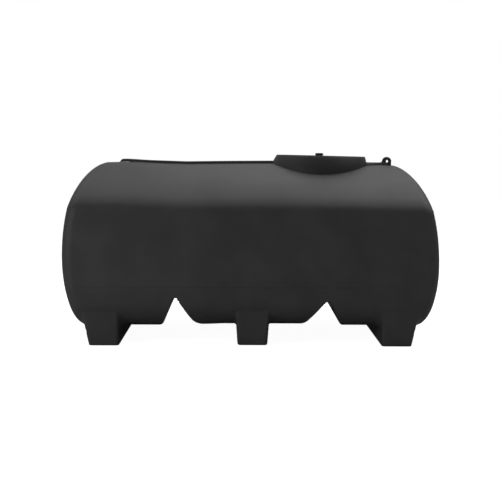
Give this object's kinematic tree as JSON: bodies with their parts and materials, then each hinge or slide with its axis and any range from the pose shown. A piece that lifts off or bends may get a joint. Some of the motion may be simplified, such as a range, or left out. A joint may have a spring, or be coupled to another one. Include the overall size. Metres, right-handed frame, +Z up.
{
  "type": "horizontal water tank",
  "caption": "Low horizontal water tank, moulded in black plastic as a long shell with a barrel roof, bulged ends, grooves across its belly, saddle feet, and a raised round manhole with lid and vent",
  "frame": {"origin": "On the ground, under the middle of the tank's box, halfway along it and halfway across it", "axes": "+X along the tank towards the end with the manhole, to the right in the picture; +Y across it towards the rear, with the front seen in the picture at -Y; +Z up"},
  "size_m": [2.468, 1.28, 1.261],
  "materials": {
    "moulded_body": "black polyethylene with a soft moulded sheen",
    "lid": "black polyethylene",
    "gasket": "dull black rubber"
  },
  "bodies": {
    "root": {"roof_left": "moulded_body", "roof_centre": "moulded_body", "roof_manhole": "moulded_body", "front_wall": "moulded_body", "rear_wall": "moulded_body", "left_end": "moulded_body", "right_end": "moulded_body", "left_end_base": "moulded_body", "left_belly": "moulded_body", "left_groove": "moulded_body", "centre_belly": "moulded_body", "right_groove": "moulded_body", "right_belly": "moulded_body", "right_end_base": "moulded_body", "left_foot": "moulded_body", "middle_foot": "moulded_body", "right_foot": "moulded_body", "manhole_collar": "moulded_body", "ridge_left": "moulded_body", "ridge_right": "moulded_body", "lifting_eye": "moulded_body", "manhole_lid": "lid", "lid_gasket": "gasket", "vent_stem": "lid", "vent_cap": "lid"}
  },
  "joints": []
}
